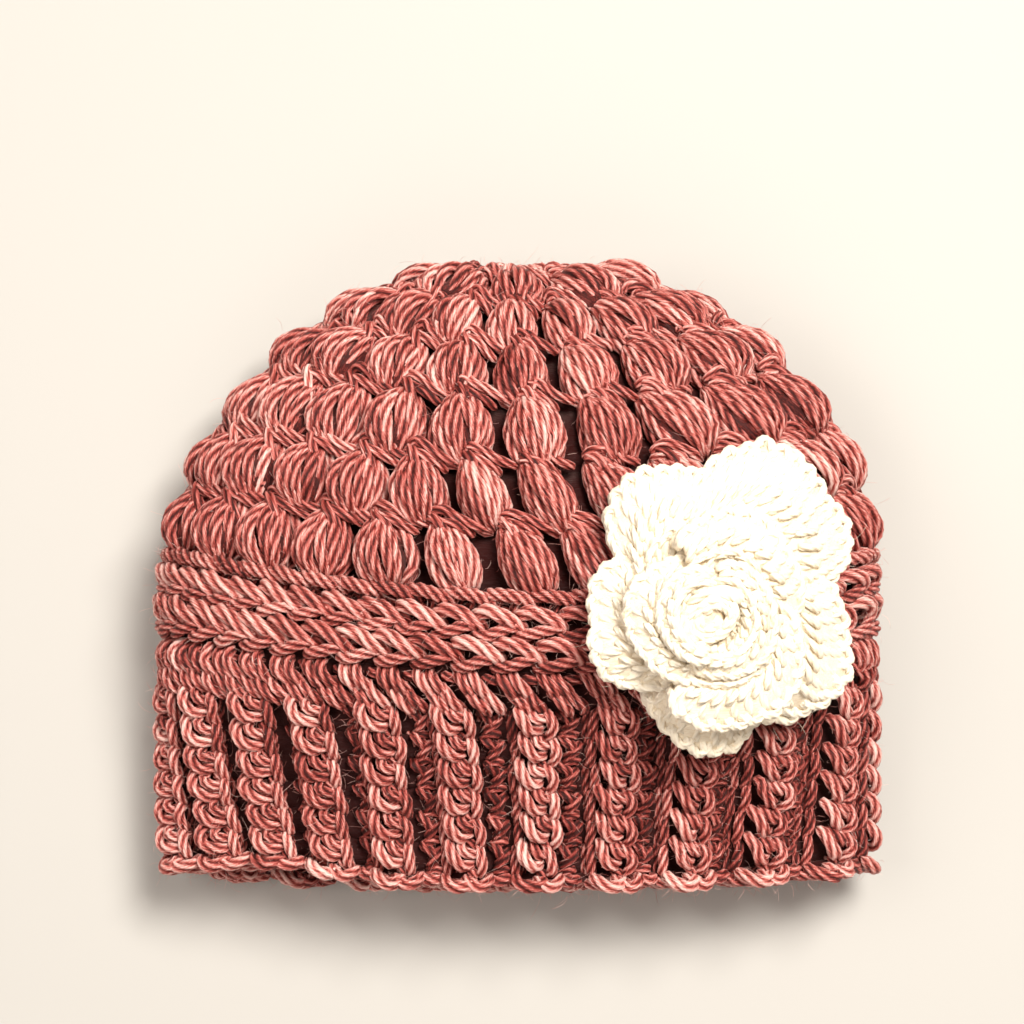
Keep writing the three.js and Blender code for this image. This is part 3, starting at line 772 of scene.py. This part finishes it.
def rose_foot():
    """The rose's own origin, on the hat's wall."""
    turn = np.linspace(0.25, 0.5, 400)
    station = float(np.interp(0, STATIONS, ALONG))
    points = on_wall(np.full(400, station), turn, np.zeros(400))
    nearest = points[np.argmin(np.abs(points[:, 0] - ROSE_FOOT[0]))]
    return np.array([*ROSE_FOOT, nearest[2]])


ROSE_ORIGIN = rose_foot()


def on_rose(x, y, z):
    """A point of the rose's own frame, whose Z points out of the hat."""
    tilted_x = x * math.cos(ROSE_TILT) + z * math.sin(ROSE_TILT)
    tilted_z = z * math.cos(ROSE_TILT) - x * math.sin(ROSE_TILT)
    return np.stack([tilted_x, y, tilted_z], -1) + ROSE_ORIGIN


def thread(piece, surface, corners, radius, tone=None, loose=0.0, pitch=PLY_PITCH):
    """Strands whose corners are (across, out, lift) on a petal's surface: (strands, corners, 3)."""
    corners = np.asarray(corners, float)
    rough = surface(corners[..., 0], corners[..., 1], corners[..., 2])
    length = np.linalg.norm(np.diff(rough, axis=1), axis=-1).sum(1).max()
    count = max(int(length / STEP), 5)
    points = np.einsum("ij,sjk->sik", spline(corners.shape[1], count), corners)
    paths = surface(points[..., 0], points[..., 1], points[..., 2])
    if loose:
        paths = paths + rng.normal(0, loose, (len(paths), 1, 3))
    taper = 1 - STRAND_TAPER * np.abs(np.linspace(-1, 1, count)) ** 4
    piece.strands(paths, radius * taper, pitch, tone)


def petal(name, first, last, reach, droop, lean, layer):
    """A crocheted petal: posts side by side, a row of loops across its middle, and a scalloped edge."""
    piece = Piece(name)
    foot, edge, curl = layer["low"], layer["high"], layer["curl"]
    ripple, phase = layer["frill"] * rng.uniform(0.9, 1.3), rng.uniform(0, 2 * math.pi)
    waves = max(round((last - first) * reach / 600), 2)

    def surface(across, out, lift):
        side = 2 * across - 1
        wave = waves * math.pi * across + phase
        angle = np.radians(lerp(first - LAP, last + LAP, across))
        end = reach * (1 + lean * side) - SHOULDER * (reach - layer["start"]) * np.abs(side) ** 2.6
        end = end + layer["frill"] * np.sin(wave)
        radius = lerp(layer["start"], end, out)
        height = lerp(foot, edge, out) + layer["crown"] * np.sin(math.pi * out) * (1 - side**2)
        height = height - droop * np.clip(out, 0, 1.1) ** 2
        height = height - layer["root"] * (1 - np.clip(out, 0, 1)) ** 4 - curl * np.clip(out, 0, 1.1) ** 5
        height = height + 1.2 * side * out + ripple * out**2 * np.cos(wave)
        return on_rose(radius * np.cos(angle), radius * np.sin(angle), height + lift)

    rim = math.radians(last - first + 2 * LAP) * (0.82 * reach)
    posts = max(int(rim * POST_SHARE / POST_WIDTH), 4)
    middle = (np.arange(posts) + 0.5) / posts
    half = 0.5 / posts

    def across(offsets, outs, lifts, centres=middle):
        offsets, outs, lifts = (np.asarray(v, float) for v in (offsets, outs, lifts))
        grid = np.stack(np.broadcast_arrays(centres[:, None] + offsets, outs, lifts), -1)
        return grid + rng.normal(0, 1, (len(centres), 1, 1)) * [half * 0.12, 0.012, 0.12]

    post = across([0, half * 0.2, -half * 0.2, 0], [0.0, 0.3, 0.6, 0.93], [0, 0.1, 0.1, 0])
    thread(piece, surface, post, POST_RADIUS, loose=0.06)
    for level in (0.28, 0.66):
        outs = [level + 0.1, level + 0.05, level - 0.02, level - 0.06]
        wrap = across([-1.1 * half, -0.4 * half, 0.5 * half, 1.2 * half], outs, [0.5, 1.3, 1.3, 0.5])
        thread(piece, surface, wrap, WRAP_RADIUS, loose=0.05)
    offsets = [-1.5 * half, -0.8 * half, 0.2 * half, 1.2 * half, 1.7 * half]
    row = across(offsets, [0.47, 0.51, 0.52, 0.48, 0.46], [0.4, 1.2, 1.4, 1.1, 0.3])
    thread(piece, surface, row, ROW_RADIUS)
    loops = max(int(rim / LOOP_WIDTH), 4)
    centres = (np.arange(loops) + 0.5) / loops
    step = 0.5 / loops
    offsets = [-1.5 * step, -0.9 * step, 0.1 * step, 1.0 * step, 1.5 * step]
    for lift, far in ((0.8, 1.0), (-0.5, 0.98)):
        outs = [far - 0.1, far - 0.03, far + 0.02, far - 0.03, far - 0.12]
        lobe = across(offsets, outs, [lift - 0.7, lift, lift + 0.1, lift, lift - 0.9], centres)
        thread(piece, surface, lobe, LOOP_RADIUS, loose=0.05)
    wide, long = np.meshgrid(np.linspace(0.01, 0.99, 30), np.linspace(0.0, 0.985, 14))
    top, low = surface(wide, long, PETAL_LINING), surface(wide, long, -PETAL_LINING)
    piece.shell(top, low, PAINTED_PETAL_SHADE, closed=False)
    piece.fuzz(int(70 * rim / 30), PETAL_FIBRE_LENGTH)
    piece.build("rose", CREAM)


BUD_TURNS, BUD_POSTS = 1.8, 18
BUD_RADIUS, BUD_NARROWS = 5.4, 3.9
BUD_FOOT, BUD_HEIGHT = 6, 11.5


def bud():
    """The strip's rolled-up start: posts round a spiral, under an edge of loops."""
    piece = Piece("rose_bud")

    def surface(along, up, lift):
        angle = along * BUD_TURNS * 2 * math.pi + 0.6
        radius = (BUD_RADIUS - BUD_NARROWS * along) * (1 + 0.14 * np.sin(2 * angle + 0.7)) + lift
        height = BUD_FOOT + up * (BUD_HEIGHT + 1.2 * np.cos(angle - 0.9))
        return on_rose(radius * np.cos(angle), radius * np.sin(angle), height)

    count = BUD_POSTS
    centre = (np.arange(count) + 0.5) / count
    post = np.stack(np.broadcast_arrays(centre[:, None], np.array([0.1, 0.4, 0.7, 0.97]), 0.0), -1)
    thread(piece, surface, post, 1.25, loose=0.2)
    loops = centre[:, None] + np.array([-0.8, -0.4, 0.0, 0.45, 0.85]) / count
    for lift in (0.5, -0.5):
        lobe = np.stack(np.broadcast_arrays(loops, np.array([0.93, 1.0, 1.03, 1.0, 0.92]), lift), -1)
        thread(piece, surface, lobe, 1.05, loose=0.22)
    # The core that fills the bud's heart has a low tone of 0.2: painted shade inside the spiral.
    t = np.linspace(0, 1, 14)[None]
    core = on_rose(0 * t, 0 * t, 4.2 + 13.6 * t)
    piece.tubes(core, 4.4 * (1 - 0.35 * t**2), np.ones(16), SMOOTH_PITCH, [0.2], 0.6)
    piece.fuzz(70, ROSE_FIBRE_LENGTH)
    piece.build("rose", CREAM)


BASE_RADIUS, BASE_TURNS, BASE_STRAND = 12.0, 5.2, 1.3


def rose_base():
    """A flat disc of yarn wound in a spiral, sewn to the hat."""
    piece = Piece("rose_base")
    t = np.linspace(0, 1, 300)
    radius, angle = 1.0 + BASE_RADIUS * np.sqrt(t), 2 * math.pi * BASE_TURNS * np.sqrt(t)
    path = on_rose(radius * np.cos(angle), radius * np.sin(angle), 2.2 + 0.1 * np.sin(9 * angle))
    piece.strands(path[None], BASE_STRAND)
    round_it = np.linspace(0, 2 * math.pi, 48, endpoint=False)
    around, out = np.meshgrid(round_it, np.array([0.3, 6, 12.2]))
    top, low = (on_rose(out * np.cos(around), out * np.sin(around), 0 * out + z) for z in (2.9, 1.5))
    # The disc's shell has a low tone of 0.3: painted shade under the petals and between the spiral's turns.
    piece.shell(top, low, 0.3)
    piece.fuzz(40, ROSE_FIBRE_LENGTH)
    piece.build("rose", CREAM)


for petal_name, shape in PETALS.items():
    petal(petal_name, *shape)
bud()
rose_base()


# ------------------------------------------------------------------ floor, light and camera
FLOOR_REACH = 4.0  # metres to each side
FLOOR_COLOUR, FLOOR_ROUGHNESS = (0.49, 0.471, 0.438, 1), 0.75
GRAIN_SCALE, GRAIN_STRENGTH, GRAIN_DISTANCE = 900, 0.06, 0.0005
WORLD_COLOUR, WORLD_STRENGTH = (1.0, 0.86, 0.78, 1), 0.22
CENTRE = (0.0, 0.0, 0.02)


def look_at(obj, place, target):
    """Puts an object in the scene at a place, turned towards a target."""
    obj.location = place
    way = Vector(target) - Vector(place)
    obj.rotation_euler = way.to_track_quat("-Z", "Y").to_euler()
    bpy.context.scene.collection.objects.link(obj)


def floor():
    """A plain pale matt table top with a slight tooth."""
    near, far = -FLOOR_REACH, FLOOR_REACH
    mesh = bpy.data.meshes.new("floor")
    corners = [(near, near, 0), (far, near, 0), (far, far, 0), (near, far, 0)]
    mesh.from_pydata(corners, [], [(0, 1, 2, 3)])
    obj = bpy.data.objects.new("floor", mesh)
    bpy.context.scene.collection.objects.link(obj)
    material = bpy.data.materials.new("floor")
    material.use_nodes = True
    nodes, links = material.node_tree.nodes, material.node_tree.links
    shader = nodes["Principled BSDF"]
    shader.inputs["Roughness"].default_value = FLOOR_ROUGHNESS
    shader.inputs["Base Color"].default_value = FLOOR_COLOUR
    grain = nodes.new("ShaderNodeTexNoise")
    grain.inputs["Scale"].default_value = GRAIN_SCALE
    bump = nodes.new("ShaderNodeBump")
    bump.inputs["Strength"].default_value = GRAIN_STRENGTH
    bump.inputs["Distance"].default_value = GRAIN_DISTANCE
    links.new(grain.outputs["Fac"], bump.inputs["Height"])
    links.new(bump.outputs["Normal"], shader.inputs["Normal"])
    mesh.materials.append(material)


def area(name, place, size, power, colour):
    """A square area light that shines on the hat's middle."""
    light = bpy.data.lights.new(name, "AREA")
    light.shape = "SQUARE"
    light.size = size
    light.energy = power
    light.color = colour
    look_at(bpy.data.objects.new(name, light), place, CENTRE)


floor()
area("key", (0.31, 0.37, 0.9), 0.4, 17, (1.0, 0.965, 0.91))
area("fill", (-0.6, 0.1, 0.8), 0.6, 3.8, (1.0, 0.95, 0.9))
area("bounce", (-0.1, -0.7, 0.7), 0.6, 2.4, (1.0, 0.93, 0.87))
world = bpy.data.worlds.new("world")
world.use_nodes = True
background = world.node_tree.nodes["Background"]
background.inputs["Color"].default_value = WORLD_COLOUR
background.inputs["Strength"].default_value = WORLD_STRENGTH
bpy.context.scene.world = world

AIM = (-0.0012, 0.01305, 0.019)
DISTANCE, ELEVATION = 0.52, math.radians(85)
VIEW_WIDTH, SENSOR_WIDTH = 0.2202, 36
camera_data = bpy.data.cameras.new("camera")
camera_data.sensor_width = SENSOR_WIDTH
camera_data.lens = SENSOR_WIDTH * DISTANCE / VIEW_WIDTH
camera = bpy.data.objects.new("camera", camera_data)
back, up = DISTANCE * math.cos(ELEVATION), DISTANCE * math.sin(ELEVATION)
look_at(camera, (AIM[0], AIM[1] - back, AIM[2] + up), AIM)
bpy.context.scene.camera = camera
bpy.context.scene.view_settings.view_transform = "Standard"
